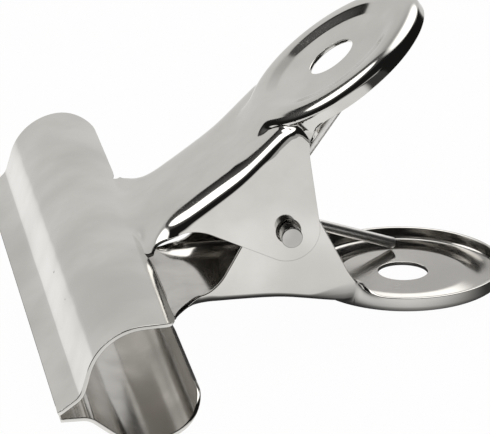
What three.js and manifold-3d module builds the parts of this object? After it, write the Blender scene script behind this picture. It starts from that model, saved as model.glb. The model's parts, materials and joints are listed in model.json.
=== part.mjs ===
// A spring clip of pressed sheet steel: two plates, a hinge pin and a torsion spring.
// Millimetres and degrees. A plate is drawn in a plate frame: X runs along the shank from the
// jaw to the finger pad, Y along the hinge pin, and Z outward, with the pin axis at the origin.
import * as THREE from 'three';
import { mergeVertices } from 'three/addons/utils/BufferGeometryUtils.js';
import Module from 'manifold-3d';

const wasm = await Module();
wasm.setup();

// Sheet and clearance
const SHEET = 0.5;
const RUNNING_GAP = 0.3;

// Jaw
const JAW_WIDTH = 76;
const JAW_CORNER_RADIUS = 4.6;
const JAW_ROOT_REACH = 14.7;
const BULGE_RADIUS = 7.2;
const BULGE_RISE = 67;
const BULGE_FALL = 38;
const JAW_FLANK = 2.2;
const LIP_BEND_RADIUS = 2.2;
const LIP_LENGTH = 2.45;

// Shank and its folded ears
const SHANK_HEIGHT = 9.65;
const EAR_HALF_SPACING = 10.4;
const FOLD_RADIUS = 2;
const FOLD_DEPTH = 2.05;
const FOLD_START_REACH = 12.8;
const EAR_END_RADIUS = 3.8;
const EAR_FRONT_SLOPE = 60.6;
const EAR_REAR_SLOPE = 62.7;
const EAR_FRONT_FILLET = 3;
const EAR_REAR_FILLET = 4;
const ROOT_WEB_RADIUS = 5;

// Finger pad
const PAD_RADIUS = 12.5;
const PAD_REACH = 16.5;
const PAD_HOLE_RADIUS = 3.2;
const PAD_DISC_RISE = 1;
const BEAD_STEP = 0.9;
const BEAD_RADIUS = 2.15;
const BEAD_SLOPE = 40;
const BEAD_FOOT_RADIUS = 1;
const RIM_DEPTH = 2.45;

// Hinge pin
const PIN_RADIUS = 1.3;
const PIN_PROUD = 2.4;
const PIN_CHAMFER = 0.2;

// Torsion spring
const WIRE_RADIUS = 0.7;
const COIL_CLEARANCE = 0.5;
const COIL_GAP = 0.45;
const COIL_TURNS = 6;
const COIL_SIDE_SPACE = 2.2;
const LEG_EDGE_INSET = 0.25;
const UPPER_LEG_PAST_HOLE = 1.5;
const LOWER_LEG_PAST_HOLE = 0.5;

// Facets
const BEND_STEP = 13;
const PAD_SIDES = 44;
const ROUND_SIDES = 24;
const CURL_STEPS = 8;
const WIRE_SIDES = 5;

// Sizes that follow from the ones above
const PIN_HOLE_RADIUS = PIN_RADIUS + RUNNING_GAP;
const UPPER_EAR = EAR_HALF_SPACING;
const LOWER_EAR = UPPER_EAR - SHEET - RUNNING_GAP;
const FOLD_EDGE_HEIGHT = SHANK_HEIGHT - FOLD_DEPTH;
const DISC_HEIGHT = SHANK_HEIGHT + PAD_DISC_RISE;
const BEAD_HEIGHT = DISC_HEIGHT + BEAD_STEP;
const RIM_HEIGHT = BEAD_HEIGHT - RIM_DEPTH;
const COIL_RADIUS = PIN_RADIUS + COIL_CLEARANCE + WIRE_RADIUS;
const OVERSIZE = 4 * (SHANK_HEIGHT + BULGE_RADIUS + PAD_RADIUS);

const radians = THREE.MathUtils.degToRad;
const degrees = THREE.MathUtils.radToDeg;
const point = (x, y) => new THREE.Vector2(x, y);
const heading = (angle, length = 1) => point(Math.cos(angle), Math.sin(angle)).multiplyScalar(length);

// Closed solids for cuts and joins
function toSolid(geometry) {
  geometry.deleteAttribute('normal');
  geometry.deleteAttribute('uv');
  const merged = mergeVertices(geometry, 1e-5);
  return new wasm.Manifold(new wasm.Mesh({
    numProp: 3,
    vertProperties: new Float32Array(merged.attributes.position.array),
    triVerts: new Uint32Array(merged.index.array),
  }));
}

function toGeometry(solid) {
  const mesh = solid.getMesh();
  const geometry = new THREE.BufferGeometry();
  geometry.setAttribute('position', new THREE.BufferAttribute(mesh.vertProperties, mesh.numProp));
  geometry.setIndex(new THREE.BufferAttribute(mesh.triVerts, 1));
  return geometry;
}

// Section of a bent sheet. Its outer face is walked from the start: { run } goes straight on and
// { turn, radius } bends left by turn degrees, or right where turn is negative. The inner face
// lies one sheet thickness to the left of the walk (side 1) or to its right (side -1).
function bentSheet(start, startAngle, moves, side) {
  const place = start.clone();
  const outer = [];
  const inner = [];
  let angle = radians(startAngle);
  const mark = () => {
    outer.push(place.clone());
    inner.push(heading(angle + side * Math.PI / 2, SHEET).add(place));
  };
  mark();
  for (const { run = 0, turn = 0, radius = 0 } of moves) {
    const steps = turn ? Math.max(2, Math.ceil(Math.abs(turn) / BEND_STEP)) : 1;
    const part = radians(turn) / steps;
    const chord = turn ? 2 * radius * Math.sin(Math.abs(part) / 2) : run;
    for (let step = 0; step < steps; step += 1) {
      place.add(heading(angle + part / 2, chord));
      angle += part;
      mark();
    }
  }
  return { outer, inner, outline: [...outer, ...inner.slice().reverse()] };
}

// Outline whose corners are rounded: each corner is { at, radius }, and no radius is sharp
function roundedOutline(corners) {
  const points = [];
  corners.forEach(({ at, radius = 0 }, index) => {
    if (!radius) {
      points.push(at);
      return;
    }
    const back = corners.at(index - 1).at.clone().sub(at).normalize();
    const ahead = corners[(index + 1) % corners.length].at.clone().sub(at).normalize();
    const half = Math.acos(THREE.MathUtils.clamp(back.dot(ahead), -1, 1)) / 2;
    const toCentre = back.clone().add(ahead).normalize().multiplyScalar(radius / Math.sin(half));
    const first = back.multiplyScalar(radius / Math.tan(half)).sub(toCentre);
    const last = ahead.multiplyScalar(radius / Math.tan(half)).sub(toCentre);
    const sweep = Math.atan2(first.cross(last), first.dot(last));
    const steps = Math.max(2, Math.ceil(Math.abs(degrees(sweep)) / BEND_STEP));
    const centre = toCentre.add(at);
    for (let step = 0; step <= steps; step += 1) {
      points.push(first.clone().rotateAround(point(0, 0), sweep * step / steps).add(centre));
    }
  });
  return points;
}

// Straight solids from an outline: upright along Z, across along the pin, along the shank
function extrude(points, depth) {
  const geometry = new THREE.ExtrudeGeometry(new THREE.Shape(points), { depth, bevelEnabled: false });
  return geometry.translate(0, 0, -depth / 2);
}

function upright(points, height) {
  return toSolid(extrude(points, height));
}

function across(points, width) {
  return toSolid(extrude(points, width).rotateX(Math.PI / 2));
}

function along(points, from, to) {
  const geometry = extrude(points, to - from).rotateX(Math.PI / 2).rotateZ(Math.PI / 2);
  return toSolid(geometry.translate((from + to) / 2, 0, 0));
}

function upCylinder(radius, x, y, sides) {
  const geometry = new THREE.CylinderGeometry(radius, radius, OVERSIZE, sides).rotateX(Math.PI / 2);
  return toSolid(geometry.translate(x, y, 0));
}

// Jaw section: a short start inside the shank, the bulge, its flank, the bend and the lip
const jawRise = radians(180 - BULGE_RISE);
const jawRoot = point(-JAW_ROOT_REACH, SHANK_HEIGHT);
const jawSection = bentSheet(jawRoot.clone().sub(heading(jawRise, SHEET)), 180 - BULGE_RISE, [
  { run: SHEET },
  { turn: BULGE_RISE + BULGE_FALL, radius: BULGE_RADIUS },
  { run: JAW_FLANK },
  { turn: -BULGE_FALL, radius: LIP_BEND_RADIUS },
  { run: LIP_LENGTH },
], 1);

function makeJaw() {
  const half = JAW_WIDTH / 2;
  const front = -JAW_ROOT_REACH - OVERSIZE;
  const plan = roundedOutline([
    { at: point(-JAW_ROOT_REACH, half), radius: JAW_CORNER_RADIUS },
    { at: point(front, half + SHEET) },
    { at: point(front, -half - SHEET) },
    { at: point(-JAW_ROOT_REACH, -half), radius: JAW_CORNER_RADIUS },
  ]);
  return across(jawSection.outline, JAW_WIDTH).intersect(upright(plan, OVERSIZE));
}

// Shank: a channel whose side walls are trimmed to the side view of the ears
function channelOutline(half) {
  const foot = (side, inset) => ({ at: point(side * (half - inset), -2 * EAR_END_RADIUS) });
  const fold = (side, inset) => ({
    at: point(side * (half - inset), SHANK_HEIGHT - inset),
    radius: FOLD_RADIUS - inset,
  });
  return roundedOutline([
    foot(1, 0), fold(1, 0), fold(-1, 0), foot(-1, 0),
    foot(-1, SHEET), fold(-1, SHEET), fold(1, SHEET), foot(1, SHEET),
  ]);
}

function earOutline() {
  const front = radians(EAR_FRONT_SLOPE);
  const rear = radians(EAR_REAR_SLOPE);
  // Where an ear edge, tangent to the round end, comes to a height above the pin
  const edgeReach = (slope, height) => {
    const rise = height + EAR_END_RADIUS * Math.cos(slope);
    return EAR_END_RADIUS * Math.sin(slope) + rise / Math.tan(slope);
  };
  const tip = point(Math.sin(rear) - Math.sin(front), -Math.cos(rear) - Math.cos(front));
  tip.multiplyScalar(EAR_END_RADIUS / (1 + Math.cos(front + rear)));
  const root = -JAW_ROOT_REACH - SHEET;
  const top = SHANK_HEIGHT + SHEET;
  return roundedOutline([
    { at: point(root, top) },
    { at: point(root, SHANK_HEIGHT - SHEET) },
    { at: point(-FOLD_START_REACH, SHANK_HEIGHT - SHEET) },
    { at: point(-edgeReach(front, FOLD_EDGE_HEIGHT), FOLD_EDGE_HEIGHT), radius: EAR_FRONT_FILLET },
    { at: tip, radius: EAR_END_RADIUS },
    { at: point(edgeReach(rear, RIM_HEIGHT), RIM_HEIGHT), radius: EAR_REAR_FILLET },
    { at: point(PAD_REACH, RIM_HEIGHT) },
    { at: point(PAD_REACH, top) },
  ]);
}

// The shank's flat widens into the root edge of the jaw through two concave corners
function makeRootWeb(half) {
  const wide = half - FOLD_RADIUS + ROOT_WEB_RADIUS;
  const length = ROOT_WEB_RADIUS + SHEET;
  const back = -JAW_ROOT_REACH + ROOT_WEB_RADIUS;
  const web = new THREE.BoxGeometry(length, 2 * wide, SHEET);
  const sheet = toSolid(web.translate(back - length / 2, 0, SHANK_HEIGHT - SHEET / 2));
  const corners = [-wide, wide].map((y) => upCylinder(ROOT_WEB_RADIUS, back, y, ROUND_SIDES));
  return sheet.subtract(corners[0]).subtract(corners[1]);
}

function makeShank(half) {
  const channel = along(channelOutline(half), -JAW_ROOT_REACH - SHEET, PAD_REACH);
  const rimSeat = upCylinder(PAD_RADIUS - SHEET / 2, PAD_REACH, 0, PAD_SIDES);
  const pinHoles = new THREE.CylinderGeometry(PIN_HOLE_RADIUS, PIN_HOLE_RADIUS, 4 * half, ROUND_SIDES);
  return channel.intersect(across(earOutline(), 4 * half)).subtract(rimSeat)
    .subtract(toSolid(pinHoles));
}

// Finger pad: a dished disc with its hole, a raised bead round it, and a rim turned inward
const beadSlope = radians(BEAD_SLOPE);
const beadBends = (BEAD_FOOT_RADIUS + BEAD_RADIUS) * (1 - Math.cos(beadSlope));
const beadFlank = (BEAD_STEP - beadBends) / Math.sin(beadSlope);
const beadWidth = (BEAD_FOOT_RADIUS + BEAD_RADIUS) * Math.sin(beadSlope)
  + beadFlank * Math.cos(beadSlope) + BEAD_RADIUS;
const discRadius = PAD_RADIUS - beadWidth;

function makePad() {
  const section = bentSheet(point(PAD_HOLE_RADIUS, DISC_HEIGHT), 0, [
    { run: discRadius - PAD_HOLE_RADIUS },
    { turn: BEAD_SLOPE, radius: BEAD_FOOT_RADIUS },
    { run: beadFlank },
    { turn: -BEAD_SLOPE - 90, radius: BEAD_RADIUS },
    { run: RIM_DEPTH - BEAD_RADIUS },
  ], -1);
  const loop = section.outline.reverse();
  const pad = new THREE.LatheGeometry([...loop, loop[0]], PAD_SIDES).rotateX(Math.PI / 2);
  return toSolid(pad.translate(PAD_REACH, 0, 0));
}

function makePlate(half) {
  return toGeometry(makeJaw().add(makeShank(half)).add(makeRootWeb(half)).add(makePad()));
}

// Hinge pin, plain and cut off square, along the Y axis
function makePin() {
  const end = UPPER_EAR + PIN_PROUD;
  const profile = [
    point(0, -end), point(PIN_RADIUS - PIN_CHAMFER, -end), point(PIN_RADIUS, PIN_CHAMFER - end),
    point(PIN_RADIUS, end - PIN_CHAMFER), point(PIN_RADIUS - PIN_CHAMFER, end), point(0, end),
  ];
  return toGeometry(toSolid(new THREE.LatheGeometry(profile, ROUND_SIDES)));
}

// With the jaws shut, the inner edges of the two lips lie a running gap apart on the mid plane
const lipEdge = jawSection.inner.at(-1);
const closedHalfAngle = Math.atan2(lipEdge.y, -lipEdge.x)
  - Math.asin(RUNNING_GAP / 2 / lipEdge.length());

// A spring leg leaves the coil on a tangent and ends on the inner face of a pad's disc
function springLeg(pastHole) {
  const reach = PAD_REACH + pastHole;
  const height = DISC_HEIGHT - SHEET - RUNNING_GAP - WIRE_RADIUS;
  const far = Math.hypot(reach, height);
  const side = Math.sqrt((discRadius - LEG_EDGE_INSET) ** 2 - pastHole ** 2);
  return {
    slope: closedHalfAngle + Math.atan2(height, reach) - Math.asin(COIL_RADIUS / far),
    length: Math.sqrt(far ** 2 - COIL_RADIUS ** 2),
    side,
  };
}

class SpringPath extends THREE.Curve {
  constructor() {
    super();
    this.arcLengthDivisions = 1000;
    this.upper = springLeg(UPPER_LEG_PAST_HOLE);
    this.lower = springLeg(LOWER_LEG_PAST_HOLE);
    this.first = Math.PI / 2 + this.upper.slope;
    this.wound = COIL_TURNS * 2 * Math.PI - Math.PI - this.upper.slope - this.lower.slope;
    this.coilLength = (2 * WIRE_RADIUS + COIL_GAP) * this.wound / (2 * Math.PI);
    this.near = -(LOWER_EAR - SHEET - COIL_SIDE_SPACE - WIRE_RADIUS);
    this.coilRun = COIL_RADIUS * this.wound;
    this.total = this.upper.length + this.coilRun + this.lower.length;
  }

  onCoil(share) {
    const angle = this.first + share * this.wound;
    const y = this.near + share * this.coilLength;
    return new THREE.Vector3(COIL_RADIUS * Math.cos(angle), y, COIL_RADIUS * Math.sin(angle));
  }

  // direction 1 is the upper leg and -1 the lower one
  onLeg(leg, start, endY, distance, direction) {
    const out = new THREE.Vector3(Math.cos(leg.slope), 0, direction * Math.sin(leg.slope));
    const spread = (endY - start.y) * distance / leg.length;
    return start.clone().addScaledVector(out, distance).add(new THREE.Vector3(0, spread, 0));
  }

  getPoint(t, target = new THREE.Vector3()) {
    const distance = t * this.total;
    const left = this.upper.length - distance;
    const past = distance - this.upper.length - this.coilRun;
    if (left > 0) {
      return target.copy(this.onLeg(this.upper, this.onCoil(0), -this.upper.side, left, 1));
    }
    if (past > 0) {
      return target.copy(this.onLeg(this.lower, this.onCoil(1), this.lower.side, past, -1));
    }
    return target.copy(this.onCoil((distance - this.upper.length) / this.coilRun));
  }
}

function makeSpring() {
  const path = new SpringPath();
  const step = 2 * Math.PI * COIL_RADIUS / CURL_STEPS;
  const steps = Math.round(path.getLength() / step);
  const ring = Array.from({ length: WIRE_SIDES }, (_, side) => (
    heading(2 * Math.PI * side / WIRE_SIDES, WIRE_RADIUS)
  ));
  const tube = new THREE.ExtrudeGeometry(new THREE.Shape(ring), { steps, extrudePath: path });
  console.log(`Spring: least gap to itself ${leastGap(path).toFixed(2)} mm`);
  return toGeometry(toSolid(tube));
}

// Least space between two stretches of the wire that are more than half a turn apart
function leastGap(path) {
  const samples = path.getSpacedPoints(40 * COIL_TURNS);
  const half = Math.ceil(Math.PI * COIL_RADIUS / (path.getLength() / (samples.length - 1)));
  let least = Infinity;
  samples.forEach((one, index) => {
    for (const other of samples.slice(index + half)) {
      least = Math.min(least, one.distanceTo(other));
    }
  });
  return least - 2 * WIRE_RADIUS;
}

// The clip lies on its lower plate: on the bulge of the jaw and the far side of the pad's bead
function restingSlope() {
  const bulge = heading(jawRise + Math.PI / 2, BULGE_RADIUS).add(jawRoot);
  const bead = point(PAD_REACH + PAD_RADIUS - BEAD_RADIUS, BEAD_HEIGHT - BEAD_RADIUS);
  const span = bead.sub(bulge);
  return Math.atan2(span.y, span.x) - Math.asin((BULGE_RADIUS - BEAD_RADIUS) / span.length());
}

function metal(color, roughness) {
  return new THREE.MeshStandardMaterial({ color, roughness, metalness: 1 });
}

function part(name, geometry, material) {
  const mesh = new THREE.Mesh(geometry, material);
  mesh.name = name;
  return mesh;
}

const upperPlate = part('upper_plate', makePlate(UPPER_EAR), metal(0xc9c7c3, 0.18));
upperPlate.rotation.y = -closedHalfAngle;

const lowerPlate = part('lower_plate', makePlate(LOWER_EAR), metal(0xc9c7c3, 0.18));
lowerPlate.rotation.x = Math.PI;
const lowerSide = new THREE.Group();
lowerSide.rotation.y = closedHalfAngle;
lowerSide.add(lowerPlate);

const hingePin = part('hinge_pin', makePin(), metal(0xb9b8b4, 0.3));
const torsionSpring = part('torsion_spring', makeSpring(), metal(0x9a9893, 0.28));

const clip = new THREE.Group();
clip.add(upperPlate, lowerSide, hingePin, torsionSpring);
clip.rotation.y = -(closedHalfAngle + restingSlope());
clip.updateMatrixWorld(true);
const box = new THREE.Box3().setFromObject(clip, true);
const middle = box.getCenter(new THREE.Vector3());
clip.position.set(-middle.x, -middle.y, -box.min.z);

const model = new THREE.Group();
model.add(clip);

export default model;
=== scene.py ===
import json
import math

import bpy
import numpy as np
from mathutils import Matrix, Vector
from mathutils.geometry import delaunay_2d_cdt


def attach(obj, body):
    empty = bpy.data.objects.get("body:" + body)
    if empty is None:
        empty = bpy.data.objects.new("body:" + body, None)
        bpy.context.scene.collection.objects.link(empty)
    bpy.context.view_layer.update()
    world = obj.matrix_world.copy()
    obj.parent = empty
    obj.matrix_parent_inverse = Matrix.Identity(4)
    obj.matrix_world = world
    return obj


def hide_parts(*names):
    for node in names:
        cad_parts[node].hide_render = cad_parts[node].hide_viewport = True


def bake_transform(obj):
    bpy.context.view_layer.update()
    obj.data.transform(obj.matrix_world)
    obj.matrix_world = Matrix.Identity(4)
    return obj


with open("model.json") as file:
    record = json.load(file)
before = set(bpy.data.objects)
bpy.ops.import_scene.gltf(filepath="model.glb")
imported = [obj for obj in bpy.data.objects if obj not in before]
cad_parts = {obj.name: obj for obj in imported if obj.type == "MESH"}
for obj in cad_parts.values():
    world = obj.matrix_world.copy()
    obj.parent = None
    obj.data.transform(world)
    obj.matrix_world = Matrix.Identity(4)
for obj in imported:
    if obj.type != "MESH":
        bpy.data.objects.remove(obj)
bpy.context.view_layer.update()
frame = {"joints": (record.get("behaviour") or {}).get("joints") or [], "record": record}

# Sizes of the clip in millimetres and slopes in degrees, in the frame of one plate: u runs along
# the shank towards the finger pad, y along the pin and v outward, with the pin at the origin
MM = 0.001
SHEET = 0.5
EDGE_ROUND = 0.1

# The jaw: a bulge, a straight flank and a turned lip, and the bend into the shank, which is wider
# in the middle of the plate than at its sides
JAW_HALF = 38.0 - EDGE_ROUND
JAW_ROOT = 14.7
JAW_CORNER = 4.6
BULGE = 7.2
BULGE_RISE = 67.0
BULGE_FALL = 38.0
FLANK = 2.2
LIP_BEND = 2.2
LIP = 2.45 - EDGE_ROUND
ROOT_BEND = 0.8
MIDDLE_BEND = 3.6
BEND_NARROWS = (4.0, 10.2)
WEB_RUN = 2.4

# The shank, which climbs to the pad, and the ears that are folded down from it
SHANK = 9.65
SHANK_START = -14.19
CLIMB = 0.9
CLIMB_RUN = (-1.5, 9.0)
LEVEL_END = 0.5
UPPER_EAR = 10.4
LOWER_EAR = 9.6
EAR_START = -10.4
EAR_END = 3.8
EAR_FRONT_SLOPE = 60.6
EAR_REAR_SLOPE = 62.7
EAR_FRONT_DROP = 2.05
EAR_REAR_DROP = 1.3
EAR_REAR_ROUND = 5.0
EAR_CURL = (2.4, 0.7, 0.9)
PIN_HOLE = 1.6
HOLE_SIDES = 48

# The finger pad: flat disc, bead, and a rim that runs out into the shank, the folds and the ears
PAD = 12.5
PAD_REACH = 16.5
PAD_HOLE = 3.2
DISC = 10.75
CROWN = 11.28
BEAD_WIDE = 2.3
BEAD_DEEP = 1.1
BEAD_SLOPE = 15.0
BEAD_FOOT_BEND = 3.0
BEAD_TOP_BEND = 4.0
BEAD_SHOULDER = 20.0
RIM = 9.1
FLAT_FOOT = 15.2
SIDE_FOOT = 13.0
FOOT_NARROWS = (4.0, 7.6)
EAR_FOOT_REACH = 8.2
EAR_FOOT_WIDE = 1.5

# The rim past the ears, in radians round the pad: where it has left the ear's plane, and how soon
# it has risen and turned straight down
RIM_LEAVES = 1.2
RIM_RISES = 0.4
RIM_TURNS = 0.35

# How strongly the rim's lines leave the bead and reach their feet, and how near the wall they keep
SOFT_PULL = 0.85
SHARPER = 0.5
SHARPER_SIDE = (4.0, 7.0)
HARD_PULL = 0.7
HARD_SIDE = (5.4, 7.2)
WALL_CLEAR = 0.2

# The pin, and the spring, whose legs end LEG_REACH from the middles of the pads
PIN = 1.3
PIN_END = 12.8
PIN_ROUND = 0.16
PIN_END_RING = 1.06
WIRE = 0.7
COIL = 2.5
COIL_GAP = 0.45
COIL_FROM_EAR = 2.2
HALF_TURNS = 11
LEG_REACH = 7.88
LEG_PLAY = 0.03
LEGS_PAST_MIDDLE = (1.5, 0.5)

# How finely the pieces are drawn
STRIPS = 14
ROWS = 92
STRAIGHT_STEP = 0.6
ROOT_POINTS = 41
BEND_ROWS = 12
CORNER_ROWS = 13
BULGE_ROWS = 26
WING_STEPS = 12
CURL_POINTS = 16
FLAT_FEET = 61
FREE_FEET = 110
FOOT_TRIES = 271
SLOPE_STEP = 0.02
DISC_RINGS = 5
BEAD_POINTS = 9
WALL_POINTS = 40
RIM_STEPS = 25
CLIMB_GRID = (np.arange(0.6, 8.0, 0.4), np.arange(-7.5, 7.6, 0.5))
FOLD_CLEAR = 0.3
FOOT_CLEAR = 0.25
PIN_SIDES = 48
PIN_RINGS = 30
WIRE_SIDES = 16
COIL_POINTS = 230
LEG_POINTS = 26

# Points closer than one part in JOIN_GRAIN of a millimetre are one point of the sheet
JOIN_GRAIN = 1000
JOIN_SHIFT = 0.137

# How a plate's fold runs along the shank, for ears that stand UPPER_EAR from the middle: its edge
# on the flat, its edge on the ear, how far it drops and how far round it turns
FLAT_EDGE = [(-14.19, 10.7), (-13.4, 10.3), (-12.4, 9.0), (-11.2, 7.6), (-10, 6.8), (-8.3, 6.1),
             (-6, 5.65), (-3, 5.45), (-1, 5.65), (0.4, 5.9), (1.8, 6.3), (3.2, 6.65), (4.7, 7.0),
             (6.5, 7.3), (9.5, 7.6)]
FREE_EDGE = [(-14.19, 13.4), (-13.9, 12.65), (-13.4, 11.9), (-12.7, 11.3), (-11.9, 10.85),
             (-11.1, 10.55), (-10.4, 10.4), (10, 10.4)]
FOLD_DROP = [(-14.19, 0), (-13.6, 0.06), (-12.8, 0.35), (-12, 0.8), (-11.2, 1.3), (-10.4, 1.65),
             (-9.5, 1.75), (-8, 1.62), (-3, 1.58), (0, 1.42), (2, 1.32), (5, 1.28), (9.5, 1.2)]
FOLD_SWEEP = [(-14.19, 12), (-13, 35), (-11.6, 70), (-10.4, 90), (10, 90)]

# Where the fold's ridge sinks at the foot of the pad, and where its edge on the ear runs down
VALLEY_DEEP = 0.2
VALLEY_LONG = 0.7
VALLEY_SIDE = (8.4, 10.0)
RUN_DOWN = 1.8
RUN_DOWN_ALONG = (2.5, 8.0)
RUN_DOWN_ACROSS = (0.75, 1.0)

UP = np.array([0.0, 0.0, 1.0])
MIRROR = np.array([1.0, -1.0, 1.0])
BULGE_START = math.radians(90 - BULGE_RISE)
BULGE_END = math.radians(90 + BULGE_FALL)
BULGE_CENTRE = np.array([-JAW_ROOT - BULGE * math.cos(BULGE_START),
                         SHANK - BULGE * math.sin(BULGE_START)])


def bend(start, angle, moves, step=3.0):
    """Points along a bent line. Each move is (run, turn, radius), and turns are to the left."""
    place = np.array(start, float)
    points = [place.copy()]
    angle = math.radians(angle)
    for run, turn, radius in moves:
        if turn:
            count = max(2, math.ceil(abs(turn) / step))
        else:
            count = max(1, round(run / STRAIGHT_STEP))
        part = math.radians(turn) / count
        chord = 2 * radius * math.sin(abs(part) / 2) if turn else run / count
        for _ in range(count):
            heading = angle + part / 2
            place = place + chord * np.array([math.cos(heading), math.sin(heading)])
            angle += part
            points.append(place.copy())
    return np.array(points)


def ease(x, low, high):
    """0 up to low and 1 from high, with a smooth step between."""
    t = np.clip((np.asarray(x, float) - low) / (high - low), 0, 1)
    return t * t * (3 - 2 * t)


def smooth_through(x, knots):
    """A smooth curve through knots, level where they turn back."""
    xs, ys = np.array(knots, float).T
    slope = np.diff(ys) / np.diff(xs)
    tangent = np.zeros(len(xs))
    same = slope[:-1] * slope[1:] > 0
    tangent[1:-1][same] = 2 * slope[:-1][same] * slope[1:][same] / (slope[:-1] + slope[1:])[same]
    tangent[0], tangent[-1] = slope[0], slope[-1]
    x = np.clip(np.asarray(x, float), xs[0], xs[-1])
    i = np.clip(np.searchsorted(xs, x, side="right") - 1, 0, len(xs) - 2)
    h = xs[i + 1] - xs[i]
    t = (x - xs[i]) / h
    return (ys[i] * (2 * t**3 - 3 * t**2 + 1) + h * tangent[i] * (t**3 - 2 * t**2 + t)
            + ys[i + 1] * (3 * t**2 - 2 * t**3) + h * tangent[i + 1] * (t**3 - t**2))


def glide(start, start_way, end, end_way, count=60):
    """A smooth line from start to end that leaves and arrives in the given ways."""
    t = np.linspace(0, 1, count)[:, None]
    return (start * (2 * t**3 - 3 * t**2 + 1) + start_way * (t**3 - 2 * t**2 + t)
            + end * (3 * t**2 - 2 * t**3) + end_way * (t**3 - t**2))


def spread(line, shares):
    """Points at even shares of a line's length."""
    steps = np.linalg.norm(np.diff(line, axis=0), axis=1)
    run = np.concatenate([[0], np.cumsum(steps)])
    return np.stack([np.interp(shares * run[-1], run, part) for part in line.T], axis=1)


def unit(way):
    return way / np.linalg.norm(way)


def round_corner(before, at, after, radius, step=4.0):
    """Points of the arc that rounds the corner at a plane point between two others."""
    back, ahead = unit(before - at), unit(after - at)
    half = math.acos(np.clip(back @ ahead, -1, 1)) / 2
    centre = at + unit(back + ahead) * radius / math.sin(half)
    first = at + back * radius / math.tan(half) - centre
    last = at + ahead * radius / math.tan(half) - centre
    sweep = math.atan2(first[0] * last[1] - first[1] * last[0], first @ last)
    count = max(3, math.ceil(abs(math.degrees(sweep)) / step))
    arc = []
    for k in range(count + 1):
        c, s = math.cos(sweep * k / count), math.sin(sweep * k / count)
        arc.append(centre + np.array([first[0] * c - first[1] * s, first[0] * s + first[1] * c]))
    return arc


def join_keys(points):
    """Whole numbers that are alike for points that meet, shifted so that none is half way."""
    return np.round(np.asarray(points, float) * JOIN_GRAIN + JOIN_SHIFT).astype(int).tolist()


class Pressing:
    """The pressed face of one sheet, gathered patch by patch and joined where they meet."""

    def __init__(self):
        self.points, self.faces, self.index, self.flat = [], [], {}, {}

    def keep(self, key, p):
        if key not in self.index:
            self.index[key] = len(self.points)
            self.points.append(p)
        return self.index[key]

    def face(self, ids):
        ring = [i for k, i in enumerate(ids) if i != ids[k - 1]]
        if len(ring) > 2:
            self.faces.append(ring)

    def grid(self, rows, flip=False, normal=None):
        """A patch of four-sided faces. A normal is given where the patch is part of a flat."""
        rows = np.array(rows, float)
        ids = [[self.keep(tuple(key), p) for key, p in zip(keys, row)]
               for keys, row in zip(join_keys(rows), rows)]
        for upper, lower in zip(ids, ids[1:]):
            for a, b, c, d in zip(upper, upper[1:], lower[1:], lower):
                self.face((d, c, b, a) if flip else (a, b, c, d))
        if normal is not None:
            self.level([i for row in ids for i in row], normal)

    def fill(self, outline, lift, normal, hole=0.0, inside=()):
        """Fills a plane outline, but for a round hole about the origin, and lifts it into place."""
        loops = [outline]
        if hole:
            turns = np.linspace(0, 2 * math.pi, HOLE_SIDES + 1)[:-1]
            loops.append([(hole * math.cos(a), hole * math.sin(a)) for a in turns])
        flat, edges = [], []
        for loop in loops:
            first = len(flat)
            flat += [Vector(p) for p in loop]
            edges += [(first + k, first + (k + 1) % len(loop)) for k in range(len(loop))]
        flat += [Vector(p) for p in inside]
        spots, _, faces, sources, _, _ = delaunay_2d_cdt(flat, edges, [], 1, 1e-7)
        ids = []
        for spot, source in zip(spots, sources):
            p = np.asarray(lift(flat[source[0]] if source else spot), float)
            ids.append(self.keep(tuple(join_keys(p)), p))
        for face in faces:
            middle = sum((spots[i] for i in face), Vector((0, 0))) / len(face)
            if middle.length < hole * math.cos(math.pi / HOLE_SIDES):
                continue
            ring = [ids[i] for i in face]
            a, b, c = (self.points[i] for i in ring[:3])
            if np.dot(np.cross(b - a, c - a), normal) < 0:
                ring.reverse()
            self.face(ring)
        return ids

    def level(self, ids, normal):
        """Gives points the normal of the flat that they lie on."""
        self.flat.update(dict.fromkeys(ids, normal))


def foot_radius(y, half):
    """Distance from the pad's middle at which its foot has run out into the shank or the ear."""
    at_ear = math.hypot(EAR_FOOT_REACH, half)
    return (FLAT_FOOT + (SIDE_FOOT - FLAT_FOOT) * ease(np.abs(y), *FOOT_NARROWS)
            + (at_ear - SIDE_FOOT) * ease(np.abs(y), half - EAR_FOOT_WIDE, half))


def climb(u):
    """How far the shank has climbed towards the pad at u."""
    return CLIMB * ease(u, *CLIMB_RUN)


def valley(u, y, half):
    """How far the fold's ridge sinks where it meets the foot of the pad."""
    left = np.hypot(PAD_REACH - u, y) - foot_radius(y, half)
    return VALLEY_DEEP * (1 - ease(left, 0.0, VALLEY_LONG)) * ease(np.abs(y), *VALLEY_SIDE)


def fold_ellipse(u, half):
    """Start, width, depth and sweep of the quarter ellipse that the fold follows at u."""
    scale = half / UPPER_EAR
    inner, outer = smooth_through(u, FLAT_EDGE) * scale, smooth_through(u, FREE_EDGE) * scale
    sweep = np.radians(smooth_through(u, FOLD_SWEEP))
    wide = (outer - inner) / np.sin(sweep)
    return inner, wide, smooth_through(u, FOLD_DROP) / (1 - np.cos(sweep)), sweep


def fold_section(u, across, half):
    """Point on the fold: across runs from 0 at the flat of the shank to 1 at the ear."""
    inner, wide, deep, sweep = fold_ellipse(u, half)
    y = inner + wide * np.sin(across * sweep)
    return y, SHANK + climb(u) - deep * (1 - np.cos(across * sweep)) - valley(u, y, half)


def fold_end(across, half):
    """Where along the shank each strip of the fold meets the foot of the pad, found by steps."""
    u = np.full(len(across), 7.0)
    for _ in range(40):
        y, _ = fold_section(u, across, half)
        meeting = PAD_REACH - np.sqrt(foot_radius(y, half) ** 2 - y**2)
        u += 0.6 * (meeting - u)
    return u


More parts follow.
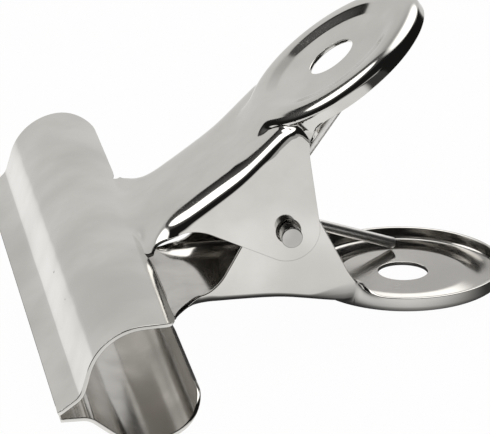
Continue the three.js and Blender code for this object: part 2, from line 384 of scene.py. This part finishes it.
def fold_strips(half):
    """Strips of the fold on the +y side, from the shank's flat to the ear, root first."""
    shares = np.linspace(0, 1, STRIPS + 1)
    long = (fold_end(shares, half) - SHANK_START)[:, None]
    along = SHANK_START + long * np.linspace(0, 1, ROWS)
    strips = np.stack([along, *fold_section(along, shares[:, None], half)], axis=-1)
    run_down = ease(along, *RUN_DOWN_ALONG) * ease(shares, *RUN_DOWN_ACROSS)[:, None]
    strips[:, :, 2] -= RUN_DOWN * run_down
    return strips


def pad_feet(strips, half):
    """Feet of the pad: those on the flat, then all of them, and the angle of the ear's foot.

    A foot is (angle from the shank's middle line, point, way in which the metal runs on there).
    """
    side = []
    for strip in strips:
        end = strip[-1]
        side.append((math.atan2(end[1], PAD_REACH - end[0]), end, unit(strip[-2] - end)))
    flat_angle, last_angle = side[0][0], side[-1][0]

    on_flat = []
    tries = np.linspace(FLAT_FOOT, PAD, FOOT_TRIES)
    for a in np.linspace(-flat_angle, flat_angle, FLAT_FEET)[1:-1]:
        out = np.array([-math.cos(a), math.sin(a), 0.0])
        straight = float(ease(abs(a), 0.5 * flat_angle, flat_angle))
        reach = next(r for r in tries if r <= foot_radius(r * math.sin(a), half) + 1e-9)
        foot = np.array([PAD_REACH, 0.0, SHANK]) + out * reach
        way = out * (1 - straight) + np.array([-1.0, 0, 0]) * straight
        fall = climb(foot[0]) - climb(foot[0] + SLOPE_STEP)
        way[2] = fall / SLOPE_STEP * abs(way[0])
        on_flat.append((a, foot + np.array([0, 0, climb(foot[0])]), way))
    feet = [(-a, p * MIRROR, way * MIRROR) for a, p, way in reversed(side)] + on_flat + side

    # Past the ears the rim has a free edge, which rises to an even height
    edge_foot, edge_way = side[-1][1:]
    for a in last_angle + (2 * math.pi - 2 * last_angle) * np.linspace(0, 1, FREE_FEET)[1:-1]:
        off = min(a, 2 * math.pi - a)
        rise = min((off - last_angle) / RIM_RISES, 1)
        low = RIM - (RIM - edge_foot[2]) * (1 - rise) ** 3
        out = max(half / math.sin(off), PAD) if off < RIM_LEAVES else PAD
        foot = np.array([PAD_REACH - out * math.cos(a), out * math.sin(a), low])
        heading = edge_way * (MIRROR if a > math.pi else 1)
        turn = float(ease(off, last_angle, last_angle + RIM_TURNS))
        feet.append((a, foot, heading * (1 - turn) - UP * turn))
    return on_flat, feet, last_angle


def root_bend(y):
    """Radius, centre and turn of the bend between bulge and shank, widest in the middle."""
    radius = ROOT_BEND + (MIDDLE_BEND - ROOT_BEND) * float(1 - ease(abs(y), *BEND_NARROWS))
    rise = SHANK + radius - BULGE_CENTRE[1]
    reach = math.sqrt((BULGE + radius) ** 2 - rise**2)
    return radius, BULGE_CENTRE + np.array([reach, rise]), math.atan2(reach, rise)


def press_shank(sheet, strips, on_flat, root_line, half):
    """The middle of the shank, level at the root and climbing to the foot of the pad."""
    outline = [*(strips[0] * MIRROR), *(p for a, p, way in on_flat), *strips[0][::-1],
               *root_line[::-1][1:-1]]
    on_climb = [(u, y) for u in CLIMB_GRID[0] for y in CLIMB_GRID[1]
                if abs(y) < fold_ellipse(u, half)[0] - FOLD_CLEAR
                and math.hypot(PAD_REACH - u, y) > foot_radius(y, half) + FOOT_CLEAR]

    def lift(p):
        return (p[0], p[1], SHANK + climb(p[0]))

    ids = sheet.fill([(p[0], p[1]) for p in outline], lift, UP, inside=on_climb)
    sheet.level([i for i in ids if sheet.points[i][0] < LEVEL_END], UP)


def press_ears(sheet, strips, half):
    """Both ears, each with the pin's hole: three-cornered, with a round end below the pin."""
    edge = strips[-1]
    start = min(range(ROWS), key=lambda i: abs(edge[i][0] - EAR_START))
    above = [p[[0, 2]] for p in edge[start:]]
    front, rear = math.radians(EAR_FRONT_SLOPE), math.radians(EAR_REAR_SLOPE)

    def side_at(slope, v):
        """How far along the sloping side of the ear is at height v."""
        return EAR_END * math.sin(slope) + (v + EAR_END * math.cos(slope)) / math.tan(slope)

    tip = np.array([math.sin(rear) - math.sin(front), -math.cos(rear) - math.cos(front)])
    tip *= EAR_END / (1 + math.cos(front + rear))
    front_height, rear_height = SHANK - EAR_FRONT_DROP, above[-1][1] - EAR_REAR_DROP
    front_corner = np.array([-side_at(front, front_height), front_height])
    rear_corner = np.array([side_at(rear, rear_height), rear_height])
    below = (round_corner(above[-1], rear_corner, tip, EAR_REAR_ROUND)
             + round_corner(rear_corner, tip, front_corner, EAR_END))

    # The front of the ear curls forward into the edge of the fold
    slope_way = np.array([math.cos(front), -math.sin(front)])
    a, b = (front_corner + slope_way * far for far in EAR_CURL[:2])
    c, d = above[0] + unit(above[1] - above[0]) * EAR_CURL[2], above[0]
    below += [a * (1 - t)**3 + b * 3 * t * (1 - t)**2 + c * 3 * t * t * (1 - t) + d * t**3
              for t in np.linspace(0, 1, CURL_POINTS)]
    outline = [tuple(p) for p in above + below[:-1]]
    stand = {tuple(np.round(p[[0, 2]], 5)): p[1] for p in edge[start:]}
    for side in (1, -1):
        def lift(p):
            return (p[0], side * stand.get((round(p[0], 5), round(p[1], 5)), half), p[1])

        normal = np.array([0.0, side, 0.0])
        sheet.level(sheet.fill(outline, lift, normal, PIN_HOLE), normal)


def press_jaw(sheet, strips, root_line):
    """The jaw from its bend out of the shank to its lip, with its corners rounded at the root."""
    roots = strips[:, 0]
    web = roots[-1][1]
    join = [*(roots[::-1] * MIRROR), *root_line[1:-1], *roots]
    bend_rows = []
    for t in np.linspace(0, 1, BEND_ROWS):
        row = []
        for p in join:
            radius, middle, turn = root_bend(p[1])
            u, v = middle - radius * np.array([math.sin(t * turn), math.cos(t * turn)])
            row.append(np.array([u, p[1], v]))
        bend_rows.append(row)
    sheet.grid(bend_rows)

    around = BULGE * math.radians(BULGE_RISE + BULGE_FALL)
    lengths = [JAW_CORNER * (1 - math.cos(a)) for a in np.linspace(0, math.pi / 2, CORNER_ROWS)]
    lengths += list(np.linspace(JAW_CORNER, around, BULGE_ROWS + 1)[1:])
    wing = np.linspace(0, 1, WING_STEPS + 1)[1:]
    rows = []
    for s in lengths:
        cut_in = JAW_CORNER - math.sqrt(max(JAW_CORNER**2 - max(JAW_CORNER - s, 0) ** 2, 0))
        right = [web + (JAW_HALF - cut_in - web) * t for t in wing]
        row = []
        for y in [-w for w in reversed(right)] + [p[1] for p in join] + right:
            at_web = float(1 - ease(abs(y), web, web + WEB_RUN))
            first = BULGE_START + (math.pi / 2 - root_bend(y)[2] - BULGE_START) * at_web
            a = first + (BULGE_END - first) * s / around
            u, v = BULGE_CENTRE + BULGE * np.array([math.cos(a), math.sin(a)])
            row.append(np.array([u, y, v]))
        rows.append(row)
    flank_start = BULGE_CENTRE + BULGE * np.array([math.cos(BULGE_END), math.sin(BULGE_END)])
    moves = [(FLANK, 0, 0), (0, -BULGE_FALL, LIP_BEND), (LIP, 0, 0)]
    for u, v in bend(flank_start, 180 + BULGE_FALL, moves)[1:]:
        rows.append([np.array([u, p[1], v]) for p in rows[len(lengths) - 1]])
    sheet.grid(rows)


def on_pad(a, r, v):
    return np.array([PAD_REACH - r * math.cos(a), r * math.sin(a), v])


def over_bead(turns):
    """Points (radius, height) over the flattened bead, at turns from its crown."""
    return np.array([[PAD - BEAD_WIDE * (1 - math.sin(a)),
                      CROWN - BEAD_DEEP * (1 - math.cos(a))] for a in turns])


def press_pad(sheet, feet, last_angle):
    """The finger pad: disc, bead, and the rim down to its free edge or to its foot."""
    slope = math.radians(BEAD_SLOPE)
    bends = BEAD_FOOT_BEND + BEAD_TOP_BEND
    flank = (CROWN - DISC - bends * (1 - math.cos(slope))) / math.sin(slope)
    disc = PAD - BEAD_WIDE - bends * math.sin(slope) - flank * math.cos(slope)
    moves = [(0, BEAD_SLOPE, BEAD_FOOT_BEND), (flank, 0, 0), (0, -BEAD_SLOPE, BEAD_TOP_BEND)]
    lean = math.radians(BEAD_SHOULDER)
    shoulder = math.atan(math.tan(lean) * BEAD_WIDE / BEAD_DEEP)
    section = np.vstack([bend((disc, DISC), 0, moves, step=2.0),
                         over_bead(np.linspace(0, shoulder, BEAD_POINTS)[1:])])
    wall = over_bead(np.linspace(shoulder, math.pi / 2, WALL_POINTS)[1:])
    angles = [a for a, foot, way in feet]
    angles.append(angles[0])
    radii = np.linspace(PAD_HOLE, disc, DISC_RINGS)
    sheet.grid([[on_pad(a, r, DISC) for a in angles] for r in radii], normal=UP)
    sheet.grid([[on_pad(a, r, v) for a in angles] for r, v in section])

    # Each line of the rim runs softly to the shank in front, and hugs the bead's wall elsewhere
    steps = np.linspace(0, 1, RIM_STEPS)
    lines = []
    for a, foot, way in feet:
        out = np.array([-math.cos(a), math.sin(a), 0.0])
        top = on_pad(a, *section[-1])
        gap = np.linalg.norm(foot - top)
        pull = SOFT_PULL - SHARPER * float(ease(abs(foot[1]), *SHARPER_SIDE))
        soft = glide(top, (out * math.cos(lean) - UP * math.sin(lean)) * gap * SOFT_PULL,
                     foot, way * gap * pull)
        on_foot = min(abs(a), 2 * math.pi - a) <= last_angle
        kept = [q for q in wall if not on_foot or q[1] > foot[2] + WALL_CLEAR]
        edge = np.array([on_pad(a, r, v) for r, v in [section[-1], *kept]])
        gap = np.linalg.norm(foot - edge[-1])
        fall = unit(edge[-1] - edge[-2])
        hard = np.vstack([edge, glide(edge[-1], fall * gap, foot, way * gap * HARD_PULL)[1:]])
        share = float(ease(abs(foot[1]), *HARD_SIDE)) if on_foot else 1.0
        lines.append(spread(soft, steps) * (1 - share) + spread(hard, steps) * share)
    sheet.grid([[*row, row[0]] for row in zip(*lines)])


def press_plate(half):
    """The outer face of one plate, with its ears half from the middle."""
    sheet = Pressing()
    strips = fold_strips(half)
    sheet.grid(strips)
    sheet.grid(strips * MIRROR, flip=True)
    on_flat, feet, last_angle = pad_feet(strips, half)
    fold_start = strips[0][0][1]
    root_line = [np.array([root_bend(y)[1][0], y, SHANK])
                 for y in np.linspace(-fold_start, fold_start, ROOT_POINTS)]
    press_shank(sheet, strips, on_flat, root_line, half)
    press_ears(sheet, strips, half)
    press_jaw(sheet, strips, root_line)
    press_pad(sheet, feet, last_angle)
    return sheet


# The cut edge, from the pressed face to the inside: (share of the sheet's depth, how far it stands
# out, tilt of its normal)
CUT_EDGE = [(0.05, 0.055, 40), (0.17, 0.09, 75), (0.5, 0.1, 90), (0.83, 0.09, 105),
            (0.95, 0.055, 140)]

# Slots of the plate's materials, the last of them a near black painted shade for the cut edge along
# the jaw, and where along the plate the jaw and its lip lie
FACE, INSIDE, SHADED_EDGE = 0, 1, 2
JAW_FROM = -12
LIP_FROM = -18
LIP_MARGIN = 0.2
ROOT_MARGIN = JAW_CORNER + 0.1


def face_normals(sheet, points):
    """A normal for each point, weighed by the angles of the faces round it."""
    normals = np.zeros_like(points)
    for count in {len(ring) for ring in sheet.faces}:
        rings = np.array([ring for ring in sheet.faces if len(ring) == count])
        corners = points[rings]
        back, ahead = (np.roll(corners, way, axis=1) - corners for way in (1, -1))
        n = np.cross(ahead, back)
        size = np.maximum(np.linalg.norm(n, axis=2), 1e-12)
        reach = np.maximum(np.linalg.norm(back, axis=2) * np.linalg.norm(ahead, axis=2), 1e-12)
        np.add.at(normals, rings, n * (np.arcsin(np.minimum(size / reach, 1)) / size)[..., None])
    for i, n in sheet.flat.items():
        normals[i] = n
    return normals / np.linalg.norm(normals, axis=1)[:, None]


def thicken(sheet):
    """Gives the pressed face its inside and a rounded cut edge, with a normal for each point."""
    points = np.array(sheet.points)
    normals = face_normals(sheet, points)
    sides = dict.fromkeys((ring[k - 1], ring[k]) for ring in sheet.faces for k in range(len(ring)))
    rim = [(a, b) for a, b in sides if (b, a) not in sides]
    ways = {}
    for a, b in rim:
        along = unit(points[b] - points[a])
        for i in (a, b):
            ways.setdefault(i, []).append(np.cross(along, normals[i]))

    places, shading = list(points), list(normals)
    faces = [list(ring) for ring in sheet.faces]
    rows = {}
    for i, found in ways.items():
        outward = unit(sum(found))
        outward /= max(0.5, float(outward @ found[0]))
        rows[i] = [i]
        for depth, stand, tilt in CUT_EDGE:
            rows[i].append(len(places))
            places.append(points[i] - normals[i] * SHEET * depth + outward * stand)
            c, s = math.cos(math.radians(tilt)), math.sin(math.radians(tilt))
            shading.append(unit(normals[i] * c + outward * s))
    inside = len(places)
    places += list(points - normals * SHEET)
    shading += list(-normals)
    faces += [[inside + i for i in reversed(ring)] for ring in sheet.faces]
    slots = [FACE] * len(sheet.faces) + [INSIDE] * len(sheet.faces)
    for i in rows:
        rows[i].append(inside + i)
    for a, b in rim:
        margin = LIP_MARGIN if points[a][0] < LIP_FROM else ROOT_MARGIN
        clear = all(abs(points[i][1]) < JAW_HALF - margin for i in (a, b))
        # Along the jaw, short of its rounded corners, the cut edge takes the near black slot:
        # painted shade
        slot = SHADED_EDGE if points[a][0] < JAW_FROM and clear else FACE
        for k in range(len(CUT_EDGE) + 1):
            faces.append([rows[b][k], rows[a][k], rows[a][k + 1], rows[b][k + 1]])
            slots.append(slot)
    return np.array(places), faces, np.array(shading), slots


def make_mesh(name, places, faces, shading=None):
    mesh = bpy.data.meshes.new(name)
    mesh.from_pydata([tuple(p) for p in places], [], faces)
    mesh.polygons.foreach_set("use_smooth", [True] * len(mesh.polygons))
    if shading is not None:
        mesh.normals_split_custom_set_from_vertices([tuple(n) for n in shading])
    mesh.update()
    piece = bpy.data.objects.new(name, mesh)
    bpy.context.scene.collection.objects.link(piece)
    return piece


# Where the pin and the two plates lie in the shared frame
hinge = next(joint for joint in frame["joints"] if joint["name"] == "jaw_hinge")
pin_place = np.array(hinge["pos_m"]) / MM
face_ways = {m["name"]: np.array(m["axis"], float) for m in frame["record"]["mounts"]}


def plate_frame(outward, side):
    """Axes u, y and v of a plate. side is 1 for the upper plate and -1 for the lower."""
    across = np.array([0.0, side, 0.0])
    return np.array([np.cross(across, outward), across, outward])


upper_axes = plate_frame(face_ways["upper_pad_face"], 1)
lower_axes = plate_frame(face_ways["lower_pad_face"], -1)
middle_way = unit(upper_axes[0] + lower_axes[0])
middle_axes = np.array([middle_way, [0, 1, 0], np.cross(middle_way, [0, 1, 0])])
plate_lean = math.acos(float(upper_axes[0] @ middle_way))


def placed(points, axes):
    return (np.asarray(points) @ axes + pin_place) * MM


def make_plate(name, half, axes):
    places, faces, shading, slots = thicken(press_plate(half))
    plate = make_mesh(name, placed(places, axes), faces, shading @ axes)
    plate.data.polygons.foreach_set("material_index", slots)
    return plate


def tube_faces(rings, sides):
    """Faces between rings of points that follow each other, and over both ends."""
    faces = []
    for k in range(rings - 1):
        for i in range(sides):
            j = (i + 1) % sides
            faces.append([k * sides + i, k * sides + j, (k + 1) * sides + j, (k + 1) * sides + i])
    faces.append(list(reversed(range(sides))))
    faces.append([(rings - 1) * sides + i for i in range(sides)])
    return faces


def make_pin():
    """The pin, turned about +Y, with the rims of its square ends just broken."""
    rounding = bend((PIN - PIN_ROUND, -PIN_END), 0, [(0, 90, PIN_ROUND)], step=15)
    near_end = [(PIN_END_RING, -PIN_END), *map(tuple, rounding)]
    middle = [(PIN, y) for y in np.linspace(-PIN_END + 0.6, PIN_END - 0.6, PIN_RINGS)]
    profile = near_end + middle + [(r, -y) for r, y in reversed(near_end)]
    angles = np.linspace(0, 2 * math.pi, PIN_SIDES + 1)[:-1]
    places = [(r * math.cos(a), y, r * math.sin(a)) for r, y in profile for a in angles]
    faces = [ring[::-1] for ring in tube_faces(len(profile), PIN_SIDES)]
    return make_mesh("hinge_pin_turned", placed(places, middle_axes), faces)


def spring_line():
    """Middle line of the wire, upper leg first, and the ends of its coil along the pin."""
    height = DISC - SHEET - LEG_PLAY - WIRE
    legs = []
    for past in LEGS_PAST_MIDDLE:
        reach = PAD_REACH + past
        far = math.hypot(reach, height)
        legs.append((plate_lean + math.atan2(height, reach) - math.asin(COIL / far),
                     math.sqrt(far**2 - COIL**2), math.sqrt(LEG_REACH**2 - past**2)))
    (up_slope, up_long, up_side), (low_slope, low_long, low_side) = legs
    wound = HALF_TURNS * math.pi - up_slope - low_slope
    first = math.pi / 2 + up_slope
    near_end = -(LOWER_EAR - SHEET - COIL_FROM_EAR - WIRE)
    long = (2 * WIRE + COIL_GAP) * wound / (2 * math.pi)
    coil = [np.array([COIL * math.cos(a), near_end + long * (a - first) / wound,
                      COIL * math.sin(a)]) for a in np.linspace(first, first + wound, COIL_POINTS)]

    def leg(start, slope, run, side):
        """A straight leg from an end of the coil to side, which is its y at the far end."""
        ahead = np.array([run * math.cos(slope), side - start[1], run * math.sin(slope)])
        return [start + t * ahead for t in np.linspace(0, 1, LEG_POINTS)[1:]]

    upper = leg(coil[0], up_slope, up_long, -up_side)
    lower = leg(coil[-1], -low_slope, low_long, low_side)
    return np.array(upper[::-1] + coil + lower), near_end, near_end + long


def make_spring():
    """One round wire along its middle line, cut square at both ends with its edge worn round."""
    line, near_end, far_end = spring_line()
    tangents = np.gradient(line, axis=0)
    tangents /= np.linalg.norm(tangents, axis=1)[:, None]
    side = np.array([0.0, 1.0, 0.0])
    rings = []
    for p, t in zip(line, tangents):
        side = unit(side - t * (side @ t))
        rings.append((p, t, side))
    worn = [(0.0, 0.9), (0.06, 0.97), (0.14, 1.0)]
    p, t, s = rings[0]
    stations = [(p + t * back, t, s, share) for back, share in worn]
    stations += [(p, t, s, 1.0) for p, t, s in rings[1:-1]]
    p, t, s = rings[-1]
    stations += [(p - t * back, t, s, share) for back, share in reversed(worn)]
    angles = np.linspace(0, 2 * math.pi, WIRE_SIDES + 1)[:-1]
    places = []
    for p, t, s, share in stations:
        other = np.cross(t, s)
        for a in angles:
            places.append(p + WIRE * share * (s * math.cos(a) + other * math.sin(a)))
    faces = tube_faces(len(stations), WIRE_SIDES)
    spring = make_mesh("torsion_spring_wire", placed(places, middle_axes), faces)
    return spring, near_end, far_end


# The photograph's size and the point on its optical axis, in pixels, and the camera's place
PHOTO = (490, 434)
AXIS_POINT = (232.567, 232.536)
FOCAL = 3435.2
SENSOR = 36.0
CAMERA_PLACE = (-0.062951, -0.390027, 0.161963)
CAMERA_ASIDE, CAMERA_DOWN, CAMERA_ROLL = 8.6805, 21.1275, 3.3885


def make_camera():
    data = bpy.data.cameras.new("photo_camera")
    camera = bpy.data.objects.new("photo_camera", data)
    bpy.context.scene.collection.objects.link(camera)
    data.sensor_fit = "HORIZONTAL"
    data.sensor_width = SENSOR
    data.lens = FOCAL / PHOTO[0] * SENSOR
    data.shift_x = (PHOTO[0] / 2 - AXIS_POINT[0]) / PHOTO[0]
    data.shift_y = (AXIS_POINT[1] - PHOTO[1] / 2) / PHOTO[0]
    data.clip_start = 0.01
    data.clip_end = 10
    aside, down, roll = map(math.radians, (CAMERA_ASIDE, CAMERA_DOWN, CAMERA_ROLL))
    forward = Vector((math.sin(aside) * math.cos(down), math.cos(aside) * math.cos(down),
                      -math.sin(down)))
    level = forward.cross(Vector((0, 0, 1))).normalized()
    above = level.cross(forward)
    right = level * math.cos(roll) - above * math.sin(roll)
    up = above * math.cos(roll) + level * math.sin(roll)
    turn = Matrix((right, up, -forward)).transposed().to_4x4()
    camera.matrix_world = Matrix.Translation(CAMERA_PLACE) @ turn
    bpy.context.scene.camera = camera


make_camera()
upper = make_plate("upper_plate_pressed", UPPER_EAR, upper_axes)
lower = make_plate("lower_plate_pressed", LOWER_EAR, lower_axes)
pin = make_pin()
spring, coil_near, coil_far = make_spring()

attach(upper, "upper")
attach(lower, "lower")
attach(pin, "lower")
pin_m = Vector(pin_place * MM)
pin_m + Vector((0, coil_near * MM, 0))
pin_m + Vector((0, coil_far * MM, 0))
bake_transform(spring)
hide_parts("upper_plate")
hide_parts("lower_plate")
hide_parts("hinge_pin")
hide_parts("torsion_spring")


class Level:
    """A socket of numbers or colours, for use in sums."""

    def __init__(self, maker, socket):
        self.maker, self.socket = maker, socket

    def _with(self, operation, *values):
        return self.maker.node("ShaderNodeMath", {"operation": operation}, dict(enumerate(values)))

    def __add__(self, other):
        return self._with("ADD", self, other)

    __radd__ = __add__

    def __sub__(self, other):
        return self._with("SUBTRACT", self, other)

    def __rsub__(self, other):
        return self._with("SUBTRACT", other, self)

    def __mul__(self, other):
        return self._with("MULTIPLY", self, other)

    __rmul__ = __mul__

    def __abs__(self):
        return self._with("ABSOLUTE", self)

    def soft(self, low, high):
        """0 below low and 1 above high, or the other way round where low is the larger."""
        return self.maker.node("ShaderNodeMapRange", {"interpolation_type": "SMOOTHSTEP"},
                               {0: self, 1: low, 2: high, 3: 0.0, 4: 1.0})

    def toward(self, direction):
        return self.maker.node("ShaderNodeVectorMath", {"operation": "DOT_PRODUCT"},
                               {0: self, 1: direction}, out="Value")

    def part(self, axis):
        return self.maker.node("ShaderNodeSeparateXYZ", {}, {0: self}, out=axis)


class Finish:
    """The nodes of one material or world."""

    def __init__(self, owner):
        self.owner = owner
        owner.use_nodes = True
        self.tree = owner.node_tree
        self.tree.nodes.clear()

    def node(self, kind, settings=None, values=None, out=0):
        node = self.tree.nodes.new(kind)
        for key, value in (settings or {}).items():
            setattr(node, key, value)
        for key, value in (values or {}).items():
            if isinstance(value, Level):
                self.tree.links.new(value.socket, node.inputs[key])
            else:
                node.inputs[key].default_value = value
        return Level(self, node.outputs[out]) if node.outputs else None

    def noise(self, where, scale, detail=3.0, rough=0.5):
        return self.node("ShaderNodeTexNoise", {}, {
            "Vector": where, "Scale": scale, "Detail": detail, "Roughness": rough})

    def mix(self, share, one, two):
        """Colours mixed by share."""
        return self.node("ShaderNodeMix", {"data_type": "RGBA"}, {0: share, 6: one, 7: two}, out=2)

    def stretched(self, where, turn, scale):
        return self.node("ShaderNodeMapping", {}, {
            "Vector": where, "Rotation": turn, "Scale": scale})


# Marks of bright plate: how many to the metre, and how deep in metres. The radius of a pit is given
# in spaces between pits, from its edge to its floor
WAVES, WAVE_DEEP = 95.0, 6e-5
HAZE, HAZE_DEEP = 160.0, 4e-6
GRAIN, GRAIN_DEEP = 2600.0, 2.2e-7
PITS, PIT_DEEP, PIT_RADIUS = 135.0, 2.4e-5, (0.026, 0.012)
RUB_DEEP = 1.6e-6
CLOUDS, CLOUD_SHADE = 62.0, 0.84
PIT_COLOUR = (0.05, 0.045, 0.04, 1)


def nickel(name, colour, shade, roughness, wave=1.0, marks=1.0):
    """Bright plate: slow waves of the sheet, clouds, fine grain, pits and hairline rubs."""
    make = Finish(bpy.data.materials.new(name))
    where = make.node("ShaderNodeTexCoord", out="Object")
    waves = make.noise(where, WAVES, 1.5, 0.4)
    haze = make.noise(where, HAZE, 4.0, 0.6)
    grain = make.noise(where, GRAIN, 3.0, 0.6)
    pits = make.node("ShaderNodeTexVoronoi", {}, {"Vector": where, "Scale": PITS}).soft(*PIT_RADIUS)
    lengthwise = make.stretched(where, (0.2, 0.5, 0.35), (260.0, 5200.0, 5200.0))
    crosswise = make.stretched(where, (0.1, -0.4, 2.1), (380.0, 6800.0, 6800.0))
    rubs = (make.noise(lengthwise, 1.0, 2.0).soft(0.66, 0.74)
            + make.noise(crosswise, 1.0, 2.0).soft(0.68, 0.76)) * haze.soft(0.5, 0.62)
    height = (waves * (WAVE_DEEP * wave) + haze * HAZE_DEEP + grain * GRAIN_DEEP
              - pits * (PIT_DEEP * marks) - rubs * (RUB_DEEP * marks))
    bump = make.node("ShaderNodeBump", {}, {"Strength": 1.0, "Distance": 1.0, "Height": height})
    cloud = make.noise(where, CLOUDS, 2.5, 0.55).soft(0.4, 0.66)
    tone = make.mix(haze.soft(0.35, 0.7) * 0.8, (*colour, 1), (*shade, 1))
    tone = make.mix(cloud * 0.75, tone, (*[c * CLOUD_SHADE for c in shade], 1))
    tone = make.mix(pits * (0.85 * marks), tone, PIT_COLOUR)
    dulling = haze.soft(0.4, 0.8) * 0.05 + cloud * 0.05 + rubs * 0.12 + pits * 0.3
    shader = make.node("ShaderNodeBsdfPrincipled", {}, {
        "Base Color": tone, "Metallic": 1.0, "Roughness": roughness + dulling, "Normal": bump})
    make.node("ShaderNodeOutputMaterial", {}, {"Surface": shader})
    return make.owner


plate_metal = nickel("nickel_plate", (0.715, 0.70, 0.67), (0.66, 0.645, 0.61), 0.06, wave=2.2)
# The inside faces: a duller plate, with a darker colour that is painted shade
dull_shaded_inside_metal = nickel("dull_nickel_inside_painted_shade", (0.62, 0.60, 0.57), (0.50, 0.485, 0.46), 0.11,
                      marks=0.5)
# The near black finish of the cut edge along the jaw is painted shade
shaded_edge_metal = nickel("cut_edge_painted_shade", (0.13, 0.125, 0.12), (0.07, 0.066, 0.06), 0.35)
pin_metal = nickel("pin_plate", (0.66, 0.65, 0.625), (0.5, 0.49, 0.47), 0.17, wave=0.2)
wire_metal = nickel("spring_wire_plate", (0.86, 0.85, 0.83), (0.74, 0.73, 0.71), 0.36, wave=0.1)
for plate in (upper, lower):
    for metal in (plate_metal, dull_shaded_inside_metal, shaded_edge_metal):
        plate.data.materials.append(metal)
pin.data.materials.append(pin_metal)
spring.data.materials.append(wire_metal)

# The studio, as seen from the clip: its level of dark, and the strength of each card and box
ROOM_DARK = 0.012
CARD = 0.7
LEFT_BOX = 2.0
LEFT_GLOW = 0.1
RIGHT_BOX = 1.9
FRONT_TABLE = 0.4


def direction(aside, above):
    """A way out from the clip: degrees from +Y towards +X, and degrees above the floor."""
    a, e = math.radians(aside), math.radians(above)
    return (math.sin(a) * math.cos(e), math.cos(a) * math.cos(e), math.sin(e))


def within(degrees):
    return math.cos(math.radians(degrees))


def light_studio():
    """A dark room: pale card behind, a large soft box to the right and a small one to the left."""
    world = bpy.data.worlds.new("studio")
    bpy.context.scene.world = world
    make = Finish(world)
    way = make.node("ShaderNodeTexCoord", out="Generated")
    height = way.part("Z")

    def right_of(aside, blur=0.02):
        a = math.radians(aside)
        return way.toward((math.cos(a), -math.sin(a), 0)).soft(-blur, blur)

    # The card stands low behind the clip. To the right of a step it goes on upward and darkens
    behind = way.part("Y").soft(-0.02, 0.02)
    low = height.soft(0.385, 0.365)
    step = right_of(-24, 0.012)
    low_card = low * (right_of(-39) * (1 - right_of(42, 0.1)) * behind * CARD)
    high_card = (1 - right_of(60, 0.25)) * behind * (0.3 + height.soft(0.85, 0.4) * 0.4)
    cards = low_card + step * (1 - low) * high_card

    left = way.toward(direction(-57, 47))
    left_box = left.soft(within(16.5), within(14.5))
    left_glow = left.soft(within(34), within(12))
    right_box = way.toward(direction(32, 59)).soft(within(33), within(20))
    table_width = (1 - right_of(-150, 0.05)) * right_of(145, 0.04)
    front_table = (1 - behind) * height.soft(0.26, 0.16) * table_width
    strength = (ROOM_DARK + cards + left_glow * LEFT_GLOW + left_box * LEFT_BOX
                + right_box * RIGHT_BOX + front_table * FRONT_TABLE)
    light = make.node("ShaderNodeBackground", {}, {
        "Color": (1, 0.995, 0.985, 1), "Strength": strength})
    make.node("ShaderNodeOutputWorld", {}, {"Surface": light})


def lay_floor():
    """White paper that keeps the clip's shadow, and the painted reflection tones and painted shadow
    that the plate mirrors in it.
    """
    corners = [(-2, -2, 0), (2, -2, 0), (2, 2, 0), (-2, 2, 0)]
    floor = make_mesh("studio_floor", corners, [[0, 1, 2, 3]])
    make = Finish(bpy.data.materials.new("white_paper"))
    where = make.node("ShaderNodeTexCoord", out="Object")
    along, across = where.part("X"), where.part("Y")
    mirrored = make.node("ShaderNodeLightPath", out="Is Glossy Ray")
    seen = (make.node("ShaderNodeLightPath", out="Is Camera Ray") + mirrored
            + make.node("ShaderNodeLightPath", out="Is Transmission Ray")).soft(0.0, 1.0)

    # Painted reflections, for the mirror of the plate only: there the paper dims in front and far
    # behind, a painted shadow makes it dark under the clip, and it is painted dark far to the right
    tone = make.mix(across.soft(-0.04, -0.06) * mirrored, (1, 1, 1, 1), (0.85, 0.85, 0.845, 1))
    tone = make.mix(across.soft(0.06, 0.25) * mirrored, tone, (0.72, 0.72, 0.715, 1))
    painted_shadow_under = along.soft(-0.035, -0.025) * abs(across).soft(0.022, 0.008)
    painted_dark_far_right = along.soft(0.05, 0.09) * across.soft(0.04, 0.0)
    tone = make.mix((painted_shadow_under + painted_dark_far_right) * mirrored, tone, (0.04, 0.04, 0.04, 1))
    glow = make.node("ShaderNodeEmission", {}, {"Color": tone, "Strength": 1.0})
    paper = make.node("ShaderNodeBsdfPrincipled", {}, {
        "Base Color": (0.9, 0.9, 0.9, 1), "Roughness": 0.9, "Specular IOR Level": 0.1})
    shader = make.node("ShaderNodeMixShader", {}, {0: seen * 0.98, 1: paper, 2: glow})
    make.node("ShaderNodeOutputMaterial", {}, {"Surface": shader})
    floor.data.materials.append(make.owner)


light_studio()
lay_floor()
bpy.context.scene.view_settings.view_transform = "Standard"
